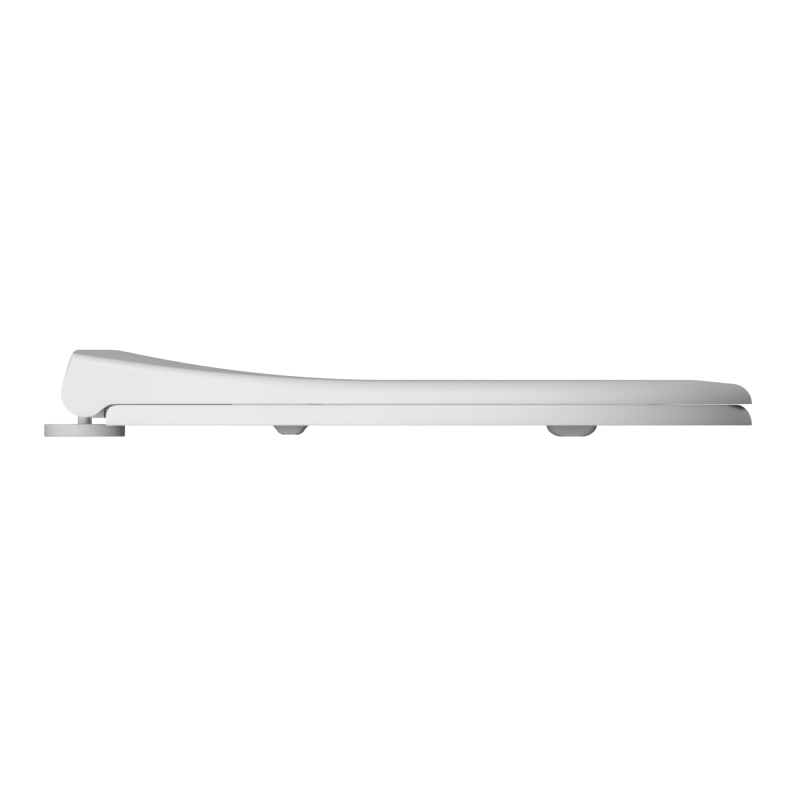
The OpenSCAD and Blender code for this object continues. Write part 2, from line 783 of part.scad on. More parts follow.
module inlet_valve() {
    color("lightgray") difference() {
        union() {
            rod_y(hinge_x, hinge_z, valve_r, inlet_y - 13, inlet_y + 13);
            for (y = [inlet_y - 12, inlet_y + 10])
                block(
                    [hinge_x - 3, y, hinge_z - pocket_r + 0.7],
                    [hinge_x + 3, y + 2, hinge_z - valve_r + 1]
                );
            rod_x(inlet_y, port_z, inlet_r, -10.4, hinge_x);
            rod_x(inlet_y, port_z, inlet_r + 1.6, -6, hinge_x - 4);
        }
        rod_x(inlet_y, port_z, inlet_r - 2.5, -11, hinge_x - 4);
    }
}

module power_gland() {
    color("dimgray") difference() {
        union() {
            rod_x(gland_y, port_z, 5.9, -11.4, hinge_x - 2);
            rod_x(gland_y, port_z, 7.5, -4.8, -3.2);
        }
        rod_x(gland_y, port_z, 3.5, -12, hinge_x + 1);
    }
}

module heater_tank() {
    color("beige") difference() {
        block([tank_x0, tank_y0, floor_z], [tank_x1, tank_y1, tank_z1]);
        block(
            [tank_x0 + tank_wall, tank_y0 + tank_wall, floor_z + tank_wall],
            [tank_x1 - tank_wall, tank_y1 - tank_wall, tank_z1 - tank_wall]
        );
        rod_y(outlet_at.x, outlet_at.y, tube_r + 0.1, tank_y0 - 1, tank_y0 + 3);
        translate([fill_x, inlet_y, tank_z1 - 3]) cylinder(h = 4, r = tube_r + 0.1);
    }
    color("beige") rod_y(outlet_at.x, outlet_at.y, 5, tank_y1 - 0.5, tank_y1 + 1);
}

module heater_element() {
    color("silver") {
        for (x = [31, 40]) rod_y(x, floor_z + 5, 2.4, tank_y0 + 6, tank_y1 - 2);
        block([31, tank_y0 + 6, floor_z + 3.5], [40, tank_y0 + 9, floor_z + 6.5]);
    }
}

module inlet_tube() {
    color("lightsteelblue") {
        valve_top = hinge_z + valve_r;
        translate([fill_x, inlet_y, tank_z1 - 2.5]) cylinder(h = tube_z - tank_z1 + 2.5, r = tube_r);
        rod_x(inlet_y, tube_z, tube_r, hinge_x, fill_x);
        translate([hinge_x, inlet_y, valve_top]) cylinder(h = tube_z - valve_top, r = tube_r);
        for (x = [hinge_x, fill_x]) translate([x, inlet_y, tube_z]) sphere(r = tube_r);
    }
}

module outlet_tube() {
    color("lightsteelblue") rod_y(outlet_at.x, outlet_at.y, tube_r, 17, tank_y0 + 2.5);
}

module diverter_valve() {
    color("lightgray") {
        block([29, -14, floor_z], [45, 17, 22]);
        translate([37, 0, 22]) cylinder(h = 7, r = 6.5);
    }
}

// ---------- nozzles ----------

// Tooth profile of module 1, centred on +X, with its root at the pitch line minus 1.15.
module tooth(depth_out) {
    polygon([[-1.4, -1.05], [-1.4, 1.05], [0, 0.68], [depth_out, 0.36], [depth_out, -0.36], [0, -0.68]]);
}

module nozzle(side) {
    z0 = -nozzle_len;
    z1 = -8;
    teeth_z = [for (i = [-1 : 13]) pinion_at - pitch * (i + 0.5)];
    nozzle_frame(side) difference() {
        union() {
            translate([0, 0, z0]) cylinder(h = z1 - z0, r = nozzle_r);
            translate([-1.8, 0, z0]) rack_bar(side, teeth_z, z0);
        }
        translate([0, 0, z0 + 3]) cylinder(h = 70, r = nozzle_r - 2.2);
    }
}

module rack_bar(side, teeth_z, z0) {
    bar_y = nozzle_r - 0.4;
    translate([0, side > 0 ? 0 : -bar_y - 0.2, 0]) cube([3.6, bar_y + 0.2, pinion_at + 3.2 - z0]);
    for (z = teeth_z)
        translate([0, side * rack_line, z - z0]) rotate([0, 90, 0]) linear_extrude(3.6)
            rotate(side > 0 ? 90 : -90) tooth(0.85);
}

module rear_nozzle() {
    color("white") nozzle(-1);
}

module front_nozzle() {
    color("white") nozzle(1);
}

module nozzle_tip(side, holes) {
    nozzle_frame(side) difference() {
        translate([0, 0, -8]) union() {
            cylinder(h = 5.5, r = nozzle_r);
            translate([0, 0, 5.5]) cylinder(h = 1, r = nozzle_r - 1);
            translate([0, 0, -4]) cylinder(h = 4.5, r = nozzle_r - 2.25);
        }
        for (i = [0 : holes - 1])
            translate([-nozzle_r + 1, (i - (holes - 1) / 2) * 1.6, -5]) rotate([0, -90, 0])
                cylinder(h = 3, r = 0.45);
    }
}

module rear_nozzle_tip() {
    color("gainsboro") nozzle_tip(-1, 1);
}

module front_nozzle_tip() {
    color("gainsboro") nozzle_tip(1, 3);
}

module nozzle_guide() {
    color("gray") difference() {
        union() {
            nozzle_frame(0) translate([-nozzle_r - 2.5, -mouth_half, guide_z0])
                cube([2 * nozzle_r + 5, 2 * mouth_half, guide_z1 - guide_z0]);
            both() block([body_x1 - 15, mouth_half - 2.8, floor_z], [body_x1 - 11, mouth_half, mouth_z]);
            // plates that carry the motors above the pinions
            for (s = [-1, 1]) nozzle_frame(s)
                translate([-plate_x - plate_w, s > 0 ? nozzle_r + 0.4 : -nozzle_r - 17.4, guide_z0 - 14])
                    cube([plate_w, 17, 15]);
        }
        for (s = [-1, 1]) nozzle_frame(s)
            translate([-10, s * (rack_line + pinion_pitch_r), pinion_at]) rotate([0, 90, 0])
                cylinder(h = 20, r = 1.6);
        for (s = [-1, 1]) nozzle_frame(s) {
            translate([0, 0, -60]) cylinder(h = 100, r = nozzle_r + run_gap);
            translate([-2.1, s > 0 ? 0 : -rack_line - 1.3, -60]) cube([4.2, rack_line + 1.3, 100]);
        }
    }
}

module pinion(side) {
    nozzle_frame(side) translate([-2, side * (rack_line + pinion_pitch_r), pinion_at]) rotate([0, 90, 0])
        linear_extrude(4) difference() {
            union() {
                circle(r = pinion_pitch_r - 1);
                for (i = [0 : teeth - 1])
                    rotate(i * 360 / teeth + 90) translate([pinion_pitch_r, 0]) tooth(0.85);
            }
            circle(r = 1.5 + run_gap);
        }
}

module rear_pinion() {
    color("ivory") pinion(-1);
}

module front_pinion() {
    color("ivory") pinion(1);
}

module nozzle_motor(side) {
    nozzle_frame(side) translate([0, side * (rack_line + pinion_pitch_r), pinion_at]) {
        translate([-plate_x - plate_w - 7.8, 0, 0]) rotate([0, 90, 0]) cylinder(h = 7.8, r = 6.2);
        translate([-plate_x - plate_w, 0, 0]) rotate([0, 90, 0]) cylinder(h = 7, r = 1.5);
        translate([-plate_x - plate_w - 5, side > 0 ? 4 : -9, -3]) cube([4, 5, 6]);
    }
}

module rear_nozzle_motor() {
    color("silver") nozzle_motor(-1);
}

module front_nozzle_motor() {
    color("silver") nozzle_motor(1);
}

// ---------- electronics ----------

board_posts = [for (x = [30, 68], y = [-70, -40]) [x, y]];

module power_board() {
    color("darkgreen") difference() {
        block([board_lo.x, board_lo.y, power_z], [board_hi.x, board_hi.y, power_z + board_t]);
        for (p = board_posts) translate([p.x, p.y, 0]) cylinder(h = 60, r = 1);
    }
    color("dimgray") {
        block([32, -66, power_z + board_t], [44, -50, power_z + 12]);
        block([48, -64, power_z + board_t], [60, -56, power_z + 9]);
        translate([50, -47, power_z + board_t]) cylinder(h = 10, r = 4);
    }
}

module board_spacers() {
    color("silver") for (p = board_posts)
        translate([p.x, p.y, power_z + board_t]) cylinder(h = main_z - power_z - board_t, r = 2.4);
}

module main_board() {
    color("darkgreen") block([board_lo.x, board_lo.y, main_z], [board_hi.x, board_hi.y, main_z + board_t]);
    color("dimgray") {
        block([40, -62, main_z + board_t], [50, -52, main_z + 3]);
        block([27, -72, main_z + board_t], [33, -44, main_z + 6]);
        block([56, -58, main_z + board_t], [62, -50, main_z + 4]);
    }
}

// ---------- dryer and deodoriser ----------

module fan_housing() {
    color("gray") difference() {
        union() {
            translate([fan_x, fan_y, floor_z]) cylinder(h = 16, r = rotor_r + fan_wall);
            block([fan_x, fan_y - rotor_r - fan_wall, floor_z], [duct_x0, fan_y - 2, floor_z + 16]);
        }
        translate([fan_x, fan_y, floor_z + 1.5]) cylinder(h = 13, r = rotor_r + 1.5);
        translate([fan_x, fan_y, floor_z + 10]) cylinder(h = 10, r = rotor_r - 3);
        block([fan_x, fan_y - rotor_r - 1.5, floor_z + 1.5], [duct_x0 + 1, fan_y - 6, floor_z + 8.6]);
    }
}

module fan_motor() {
    color("silver") translate([fan_x, fan_y, floor_z + 1.5]) {
        cylinder(h = 4.2, r = 6);
        cylinder(h = 11, r = 1);
    }
}

module fan_rotor() {
    color("dimgray") translate([fan_x, fan_y, floor_z + 6.2]) difference() {
        union() {
            cylinder(h = 1, r = rotor_r);
            cylinder(h = 6, r = 3);
            for (i = [0 : 15])
                rotate(i * 22.5) translate([rotor_r - 4, -0.4, 0.5]) rotate([0, 0, 25]) cube([3.6, 0.8, 6]);
        }
        translate([0, 0, -1]) cylinder(h = 9, r = 1 + run_gap);
    }
}

module dryer_duct() {
    color("gray") difference() {
        block([duct_x0, dryer_y0 + 0.2, dryer_z0 + 0.2], [body_x1 - 0.3, dryer_y1 - 0.2, dryer_z1 - 0.2]);
        block([duct_x0 - 1, dryer_y0 + 1.7, dryer_z0 + 1.5], [body_x1 - 2, dryer_y1 - 1.5, dryer_z1 - 1.5]);
        for (i = [0 : 3]) translate([0, dryer_y0 + 2.5 + i * louvre_pitch, 0])
            block([duct_x0, 0, dryer_z0 + 1.5], [body_x1 + 1, 2.8, dryer_z1 - 1.5]);
    }
}

module dryer_heater() {
    color("goldenrod")
        block([duct_x0 + 1, dryer_y0 + 1.7, dryer_z0 + 3.4], [duct_x0 + 4, dryer_y1 - 1.5, dryer_z0 + 4.6]);
}

module deodoriser_filter() {
    x1 = body_x1 - body_wall - 0.1;
    color("darkslategray") block([x1 - 11.9, filter_y0 - 2, floor_z], [x1, filter_y0 + 26, split_z - 1]);
}

// ---------- nodes ----------

chassis();
top_cover();
foot_discs();
foot_gaskets();
hinge_posts();
release_latch_left();
release_latch_right();
seat_damper();
lid_damper();
seat_damper_shaft();
lid_damper_shaft();
seat_top();
seat_bottom();
seat_heating_mat();
seat_thermostat();
front_bumpers();
rear_bumpers();
seat_lug_bush();
lid_shell();
lid_bushes();
lid_buffers();
inlet_valve();
inlet_tube();
power_gland();
heater_tank();
heater_element();
outlet_tube();
diverter_valve();
nozzle_guide();
rear_nozzle();
front_nozzle();
rear_nozzle_tip();
front_nozzle_tip();
rear_nozzle_motor();
front_nozzle_motor();
rear_pinion();
front_pinion();
mouth_bezel();
main_board();
power_board();
board_spacers();
fan_housing();
fan_rotor();
fan_motor();
dryer_duct();
dryer_heater();
deodoriser_filter();
stop_button();
wash_button();
button_switches();
status_window();
seat_sensor_window();
cover_screws();
seat_screws();
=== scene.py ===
"""Looks of the electric bidet seat: fine shells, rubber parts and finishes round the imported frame."""
import json
import math

import bmesh
import bpy
import numpy as np
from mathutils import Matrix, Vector


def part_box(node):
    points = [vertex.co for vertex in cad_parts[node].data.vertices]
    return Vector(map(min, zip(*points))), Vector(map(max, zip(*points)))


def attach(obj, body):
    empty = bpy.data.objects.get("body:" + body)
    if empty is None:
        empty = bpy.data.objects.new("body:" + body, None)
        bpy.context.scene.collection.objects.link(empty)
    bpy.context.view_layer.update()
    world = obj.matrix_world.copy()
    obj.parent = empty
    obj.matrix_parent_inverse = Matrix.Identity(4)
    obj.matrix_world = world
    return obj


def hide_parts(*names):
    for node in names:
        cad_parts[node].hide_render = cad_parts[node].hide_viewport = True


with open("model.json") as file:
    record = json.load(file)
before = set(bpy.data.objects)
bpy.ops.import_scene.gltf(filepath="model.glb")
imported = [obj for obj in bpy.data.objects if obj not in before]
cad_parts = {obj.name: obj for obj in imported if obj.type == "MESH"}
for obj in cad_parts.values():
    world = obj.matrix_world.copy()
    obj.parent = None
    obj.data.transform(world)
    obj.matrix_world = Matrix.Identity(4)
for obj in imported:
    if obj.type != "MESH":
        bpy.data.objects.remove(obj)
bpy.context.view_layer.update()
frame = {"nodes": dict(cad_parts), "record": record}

# ---------- driving values, in millimetres ----------

MM = 0.001


def cad_box(node):
    """Lowest and highest corner of a CAD node, in millimetres."""
    return [np.array(corner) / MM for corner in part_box(node)]


def smooth(t):
    """Eased step from 0 to 1."""
    c = np.clip(t, 0, 1)
    return c * c * (3 - 2 * c)


LID_HIGH = cad_box("lid_shell")[1]
PLATE_LOW = cad_box("seat_bottom")[0]
SHAFT_LOW, SHAFT_HIGH = cad_box("lid_damper_shaft")
DISC_LOW, DISC_HIGH = cad_box("foot_discs")
BUSH_LOW, BUSH_HIGH = cad_box("seat_lug_bush")

# Outline that the lid and the seat share
HALF_W = LID_HIGH[1]                        # half of the overall width
HALF_TAIL = 146.0                           # half width across the hinge cheeks
FRONT_X = 238.0                             # the widest point
NOSE_LEN = LID_HIGH[0] - FRONT_X
NOSE_N = 2.3                                # roundness of the front outline
TAIL_X = 20.0                               # the outline is parallel behind this X
NOSE_T = np.pi / 2 * (1 - smooth(np.linspace(0, 1, 60)))    # steps of the rounded front
HINGE_X = (SHAFT_LOW[0] + SHAFT_HIGH[0]) / 2
HINGE_Z = (SHAFT_LOW[2] + SHAFT_HIGH[2]) / 2

# Lid
CHEEK_R = 15.7
LEAN = math.radians(17)                     # backward lean of the rear wall
WALL_RIM_Z = 39.5                           # lower rim of the rear wall
RIM_Z = 21.2                                # lower rim of the lid along its sides
JOIN_X = HINGE_X + 21                       # where the cheek's rim meets the straight rim
LID_WALL = 2.6
EDGE_Z, EDGE_X, EDGE_K = 36.0, 207.0, 0.000395
TOP_Z, HUMP_X, HUMP_K = 37.0, 198.0, 0.00063
HUMP_Z = LID_HIGH[2]
HUMP_SOFT = 0.5                             # softness of the change from the hump to its slope
EDGE_R_REAR, EDGE_R_FRONT = 5.5, 13.0
EDGE_R_X, EDGE_R_RUN = 40.0, 200.0          # where the edge's radius starts to grow, and over what length
REAR_X = -7.0                               # X at which the rear edge's height is taken
REAR_ROUND, REAR_ROUND_N = 3.5, 2.2         # how far the hump's rear edge rolls forward, and its roundness
NOSE_FALL, FALL_START, FALL_RUN = 1.7, 38.0, 25.0
FALL_SOFT = (-0.18, -0.09, 0, 0.09, 0.18)   # shifts whose mean softens both ends of the fall
TOP_FALL = 1.53                             # the centre line falls this many times as far as the edge
CORNER_R, CORNER_COLUMNS = 3.2, 6           # rounding of the upright rear corner at its top
DIP_SPREAD = 0.75
REAR_DIP = [(9, WALL_RIM_Z), (7.2, 39.2), (5.4, 38.3), (3.8, 36.9), (2.2, 35.2), (0.9, 33.8)]
CHEEK_CROWD = 1.3                           # crowds the cheek's columns towards the rear
SIDE_X = np.linspace(JOIN_X, FRONT_X, 46)[1:-1]

# Seat
SEAT_Z0, SEAT_Z1, SEAT_X0 = PLATE_LOW[2], 20.8, 14.8
SEAT_H = SEAT_Z1 - SEAT_Z0
SEAT_WALL = 3.5
CHANNEL = 84.0                              # half width between the seat's arms
HOLE_A, HOLE_B, HOLE_N = 145.0, 106.0, 2.2  # half axes and roundness of the oval opening
HOLE_X = SEAT_X0 + 200.2
INNER_R = 8.0                               # rounding of the opening's edge
ROLL_SIDE, ROLL_NOSE = 1.5, 10.0            # rounding of the outer edge along the sides and at the nose
ROLL_X, ROLL_RUN = 417.0, 18.0
PLATE_DEEP, CAVITY_DEEP, LEDGE = 5.1, 10.2, 5.0
ARM_END = [(0, 0.42), (0.25, 0.58), (0.8, 0.7), (1.6, 0.79), (2.6, 0.865)]
ARM_END += [(3.6, 0.91), (5, 0.955), (6.6, 0.985), (8.6, 1)]    # (distance ahead, share of the height)
CORNER_PASSES = 14                          # softening where the channel meets the oval
LUG_R, PIN_BORE, BUSH_BORE = 9.4, 4.0, 6.0

# Feet and bumpers
DISC_R = (DISC_HIGH[0] - DISC_LOW[0]) / 2
POST_Y = DISC_HIGH[1] - DISC_R
DISC_ROOM = (2.4, 1.0)                      # room round and over a foot disc
BOLT_R, POST_R, POST_SEAT, GASKET_T, GASKET_EDGE = 3.0, 3.9, 2.3, 1.5, 5.0
FRONT_BOAT = [(0, 0.46), (0.05, 0.56), (0.16, 0.69), (0.38, 0.84), (0.69, 0.95), (1, 1)]
REAR_BOAT = [(0, 0.44), (0.08, 0.5), (0.22, 0.66), (0.5, 0.76), (0.8, 0.9), (1, 1)]
BOAT_POWER, BOAT_WAIST = 0.62, 0.72

# ---------- outline and heights ----------


def half_w(x):
    """Half width of the outline at x."""
    swell = (HALF_W - HALF_TAIL) / 2 * (1 - np.cos(np.pi * (FRONT_X - x) / (FRONT_X - TAIL_X)))
    return np.where(x <= TAIL_X, HALF_TAIL, HALF_W - swell)


def nose_point(t, inset):
    """A point of the rounded front; t runs from a quarter turn at the widest point to 0 at the nose."""
    c, s = np.maximum(np.cos(t), 0), np.maximum(np.sin(t), 0)
    return FRONT_X + (NOSE_LEN - inset) * c ** (2 / NOSE_N), (HALF_W - inset) * s ** (2 / NOSE_N)


def hole_point(t):
    """A point of the seat's oval opening on the +Y side."""
    c, s = np.cos(t), np.maximum(np.sin(t), 0)
    return HOLE_X + HOLE_A * np.sign(c) * np.abs(c) ** (2 / HOLE_N), HOLE_B * s ** (2 / HOLE_N)


def nose_drop(x):
    """How far the lid's edge has fallen towards its nose: a straight slope with soft ends."""
    run = (x - (FRONT_X + NOSE_LEN - FALL_START)) / FALL_RUN
    return NOSE_FALL * np.mean([np.clip(run + shift, 0, 1) for shift in FALL_SOFT], axis=0)


def edge_radius(x):
    """Radius of the lid's rolled edge at x."""
    return EDGE_R_REAR + (EDGE_R_FRONT - EDGE_R_REAR) * smooth((x - EDGE_R_X) / EDGE_R_RUN)


def edge_height(x):
    """Height at which the lid's rolled edge meets its crown."""
    return EDGE_Z + EDGE_K * np.maximum(EDGE_X - x, 0) ** 2 - nose_drop(x)


def top_height(x):
    """Height of the lid's centre line."""
    slope = TOP_Z + HUMP_K * np.maximum(HUMP_X - x, 0) ** 2
    return slope - HUMP_SOFT * np.logaddexp(0, (slope - HUMP_Z) / HUMP_SOFT) - TOP_FALL * nose_drop(x)


def crown_height(x, y):
    """Height of the lid's crowned top."""
    low = edge_height(x)
    return low + (top_height(x) - low) * (1 - (y / half_w(np.minimum(x, FRONT_X))) ** 2)


def wall_x(z):
    """X of the lid's leaning rear wall at height z."""
    return HINGE_X - (CHEEK_R - (z - HINGE_Z) * math.sin(LEAN)) / math.cos(LEAN)


def arc(cx, cy, r, start, end, count):
    """Points of an arc between two angles in degrees."""
    return [(cx + r * math.cos(a), cy + r * math.sin(a)) for a in np.radians(np.linspace(start, end, count))]


def through(points, count):
    """A smooth curve through points in a plane."""
    p = np.array(points, float)
    p = np.vstack([2 * p[0] - p[1], p, 2 * p[-1] - p[-2]])
    out = []
    for u in np.linspace(0, len(points) - 1, count):
        i = min(int(u), len(points) - 2)
        t = u - i
        a, b, c, d = p[i : i + 4]
        square, cube = 2 * a - 5 * b + 4 * c - d, 3 * b - a - 3 * c + d
        out.append(0.5 * (2 * b + (c - a) * t + square * t**2 + cube * t**3))
    return np.array(out)


# ---------- mesh helpers ----------


def new_piece(name, verts, faces, body):
    """A smooth-shaded mesh from points in millimetres, with doubled points merged, riding on body."""
    mesh = bpy.data.meshes.new(name)
    mesh.from_pydata([tuple(v) for v in np.asarray(verts) * MM], [], [tuple(f) for f in faces])
    tidy = bmesh.new()
    tidy.from_mesh(mesh)
    bmesh.ops.remove_doubles(tidy, verts=tidy.verts, dist=1e-6)
    bmesh.ops.dissolve_degenerate(tidy, edges=tidy.edges, dist=1e-7)
    tidy.to_mesh(mesh)
    tidy.free()
    mesh.shade_smooth()
    piece = bpy.data.objects.new(name, mesh)
    bpy.context.scene.collection.objects.link(piece)
    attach(piece, body)
    return piece


def outward(piece):
    """Turns a closed mesh's faces to the outside."""
    mesh = bmesh.new()
    mesh.from_mesh(piece.data)
    bmesh.ops.recalc_face_normals(mesh, faces=mesh.faces)
    mesh.to_mesh(piece.data)
    mesh.free()
    return piece


def round_edges(piece, width, segments, angle):
    """Rounds the edges that are sharper than angle degrees by width millimetres."""
    bevel = piece.modifiers.new("round", "BEVEL")
    bevel.width = width * MM
    bevel.segments = segments
    bevel.limit_method = "ANGLE"
    bevel.angle_limit = math.radians(angle)
    bevel.harden_normals = False


def grid_faces(rows, columns, closed):
    """Quads between rows of points; closed also joins each row's last point to its first."""
    faces = []
    for k in range(rows - 1):
        for i in range(columns if closed else columns - 1):
            j = (i + 1) % columns
            faces.append((k * columns + i, k * columns + j, (k + 1) * columns + j, (k + 1) * columns + i))
    return faces


def turned(profile, centre, count):
    """Points and quads of a closed profile of (radius, height) turned about a vertical axis."""
    angles = np.linspace(0, 2 * np.pi, count, endpoint=False)
    x0, y0 = centre
    verts = [(x0 + r * math.cos(a), y0 + r * math.sin(a), z) for a in angles for r, z in profile]
    n = len(profile)
    faces = []
    for k in range(count):
        ahead = (k + 1) % count
        for i in range(n):
            j = (i + 1) % n
            faces.append((k * n + i, k * n + j, ahead * n + j, ahead * n + i))
    return verts, faces


# ---------- lid ----------


def cheek_rim():
    """Lower rim of a side wall in XZ: from the rear corner round the cheek and up to the straight rim."""
    tangent, leave = 180 - math.degrees(LEAN), 285
    sweep = arc(HINGE_X, HINGE_Z, CHEEK_R, tangent, leave, 28)[1:-1]
    rise = arc(HINGE_X, HINGE_Z, CHEEK_R, leave, leave + 12, 2)
    rise += [(HINGE_X + 13, RIM_Z - 2.2), (HINGE_X + 16.2, RIM_Z - 0.5), (JOIN_X, RIM_Z)]
    return np.array(sweep + [tuple(p) for p in through(rise, 14)])


CHEEK_RIM = cheek_rim()


def lid_row(turn, share):
    """One line of the lid's skin on the +Y side, rear to nose, for a turn of the edge and a width share."""
    corner = CORNER_R * share
    rear_z = edge_height(REAR_X)
    rise = EDGE_R_REAR * math.sin(turn) + (HUMP_Z - rear_z) * (1 - share**2)
    part = min(rise / (EDGE_R_REAR + HUMP_Z - rear_z), 1)
    step = REAR_ROUND * (1 - (1 - part**REAR_ROUND_N) ** (1 / REAR_ROUND_N))
    x_rear = wall_x(rear_z - EDGE_R_REAR * (1 - math.sin(turn))) + step

    phi = np.linspace(0, np.pi / 2, CORNER_COLUMNS)
    along = np.linspace(0, 1, len(CHEEK_RIM) + 1)[1:] ** CHEEK_CROWD
    cheek_x = x_rear + corner + (JOIN_X - x_rear - corner) * along
    dip_x = np.full(len(REAR_DIP), x_rear)
    x = np.concatenate([dip_x, x_rear + corner * (1 - np.cos(phi)), cheek_x, SIDE_X])
    dips = [CORNER_R + DIP_SPREAD * inward for inward, _ in REAR_DIP]
    inset = np.concatenate([dips, CORNER_R * (1 - np.sin(phi)), np.zeros(len(cheek_x) + len(SIDE_X))])
    y = (half_w(x) - inset - edge_radius(x) * (1 - math.cos(turn))) * share

    nose_x, nose_y = nose_point(NOSE_T, EDGE_R_FRONT * (1 - math.cos(turn)))
    x = np.concatenate([x, FRONT_X + (nose_x - FRONT_X) * (0.7 + 0.3 * share)])
    y = np.concatenate([y, nose_y * share])
    crown = crown_height(x, y)
    if share < 1 or turn > 1.57:
        return np.column_stack([x, y, crown])
    edge = edge_height(x)
    lift = smooth(np.array(turn / (np.pi / 2))) ** 2
    return np.column_stack([x, y, edge - edge_radius(x) * (1 - math.sin(turn)) + (crown - edge) * lift])


def lid_rim_row():
    """The lid's lower rim on the +Y side, rear to nose."""
    corner_z = HINGE_Z + CHEEK_R * math.sin(LEAN)
    rim = [(wall_x(z), HALF_TAIL - inward, z) for inward, z in REAR_DIP]
    rim += [(wall_x(corner_z), HALF_TAIL, corner_z)] * CORNER_COLUMNS
    rim += [(x, HALF_TAIL, z) for x, z in CHEEK_RIM]
    rim += [(x, float(half_w(x)), RIM_Z) for x in SIDE_X]
    return np.array(rim + [(x, y, RIM_Z) for x, y in zip(*nose_point(NOSE_T, 0))])


def build_lid():
    """The lid: one skin with a rolled edge all round, given its wall thickness."""
    rim, top = lid_rim_row(), lid_row(0.0, 1.0)
    rows = [rim + (top - rim) * v for v in (0, 0.12, 0.3, 0.55, 0.8)]
    rows += [lid_row(turn, 1.0) for turn in np.radians(np.linspace(0, 90, 15))]
    shares = np.concatenate([[0.99, 0.97, 0.94], np.linspace(0.9, 0, 13)])
    rows += [lid_row(np.pi / 2, share) for share in shares]
    verts = []
    for row in rows:
        verts += list(row * [1, -1, 1]) + list(row[-2::-1])
    columns = 2 * len(rim) - 1
    lid = new_piece("lid_cover", verts, grid_faces(len(rows), columns, True), "lid")
    highest = max(lid.data.polygons, key=lambda f: f.center.z)
    if highest.normal.z < 0:
        lid.data.flip_normals()
    wall = lid.modifiers.new("wall", "SOLIDIFY")
    wall.thickness = LID_WALL * MM
    wall.offset = -1
    wall.use_even_offset = False
    round_edges(lid, 0.8, 3, 50)
    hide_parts("lid_shell")
    return lid


# ---------- seat ----------


def seat_stations():
    """Outer point, inner point, height share and cavity steps of the ring's sections, arm end to nose."""
    start = np.pi - math.asin((CHANNEL / HOLE_B) ** (HOLE_N / 2))
    hole_x0 = float(hole_point(start)[0])
    outer, inner, share, hollow = [], [], [], []
    for ahead, high in ARM_END:
        x = SEAT_X0 + ahead
        outer.append((x, float(half_w(x))))
        inner.append((x, CHANNEL))
        share.append(high)
        hollow.append((ahead > SEAT_WALL, ahead > SEAT_WALL + LEDGE))
    for x in np.linspace(SEAT_X0 + 12, hole_x0, 18):
        outer.append((x, float(half_w(x))))
        inner.append((x, CHANNEL))
    for u in np.linspace(0, 1, 22)[1:-1]:
        x = hole_x0 + (FRONT_X - hole_x0) * u
        outer.append((x, float(half_w(x))))
        inner.append(tuple(float(v) for v in hole_point(start + (np.pi / 2 - start) * u)))
    for t in NOSE_T:
        outer.append(tuple(float(v) for v in nose_point(t, 0)))
        inner.append(tuple(float(v) for v in hole_point(t)))
    outer, inner = np.array(outer), np.array(inner)
    for _ in range(CORNER_PASSES):
        inner[9:-8] = (inner[8:-9] + 2 * inner[9:-8] + inner[10:-7]) / 4
    plain = len(outer) - len(ARM_END)
    return outer, inner, share + [1.0] * plain, hollow + [(True, True)] * plain


def seat_section(o, i, share, hollow):
    """Closed section of the hollow ring at one station."""
    width = float(np.linalg.norm(i - o))
    e = (i - o) / width
    roll = ROLL_SIDE + (ROLL_NOSE - ROLL_SIDE) * float(smooth((o[0] - ROLL_X) / ROLL_RUN))
    across = []
    for f in np.radians(np.linspace(0, 90, 13)):
        across.append((roll * (1 - math.cos(f)), SEAT_Z0 + SEAT_H * math.sin(f) * share))
    for v in (0.25, 0.5, 0.75):
        across.append((roll + (width - roll - INNER_R) * v, SEAT_Z0 + SEAT_H * share))
    for f in np.radians(np.linspace(90, 0, 9)):
        high = SEAT_H - INNER_R * (1 - math.sin(f))
        across.append((width - INNER_R * (1 - math.cos(f)), SEAT_Z0 + high * share))
    low = SEAT_Z0 + (PLATE_DEEP if hollow[0] else 0)
    high = SEAT_Z0 + CAVITY_DEEP if hollow[1] else low
    near, far = SEAT_WALL, SEAT_WALL + LEDGE
    across += [(width, SEAT_Z0), (width - near, SEAT_Z0), (width - near, low), (width - far, low)]
    across += [(width - far, high), (far, high), (far, low), (near, low), (near, SEAT_Z0)]
    return [(o[0] + e[0] * a, o[1] + e[1] * a, z) for a, z in across]


def build_seat():
    """The seat ring: sections lofted from one arm round the nose to the other, hollow from below."""
    half = [np.array(seat_section(*station)) for station in zip(*seat_stations())]
    sections = [s * [1, -1, 1] for s in half] + half[-2::-1]
    verts = np.vstack(sections)
    over_disc = np.hypot(verts[:, 0], np.abs(verts[:, 1]) - POST_Y) < DISC_R + DISC_ROOM[0]
    verts[over_disc, 2] = np.maximum(verts[over_disc, 2], DISC_HIGH[2] + DISC_ROOM[1])
    n = len(sections[0])
    faces = grid_faces(len(sections), n, True)
    faces += [tuple(range(n)), tuple(len(verts) - n + i for i in range(n))]
    seat = outward(new_piece("seat_ring", verts, faces, "seat"))
    round_edges(seat, 0.5, 2, 50)
    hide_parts("seat_top")
    return seat


def lug_outline():
    """Outline of a hinge lug in XZ: round its bore, along under the arm and back over it."""
    root_x = SEAT_X0 + 20
    under = [(HINGE_X, HINGE_Z - LUG_R), (9, 18.75), (SEAT_X0 + 6, 18.9), (root_x, 19)]
    over = [(root_x, SEAT_Z1 - 0.2), (27, 23.6), (17, 30.6), (10.4, 35), (6, 36.54)]
    outline = arc(HINGE_X, HINGE_Z, LUG_R, 60, 262, 34)
    outline += [tuple(p) for p in through(under, 12)[1:]]
    outline += [(root_x, SEAT_Z1 - 0.4)]
    return np.array(outline + [tuple(p) for p in through(over, 14)[1:-1]])


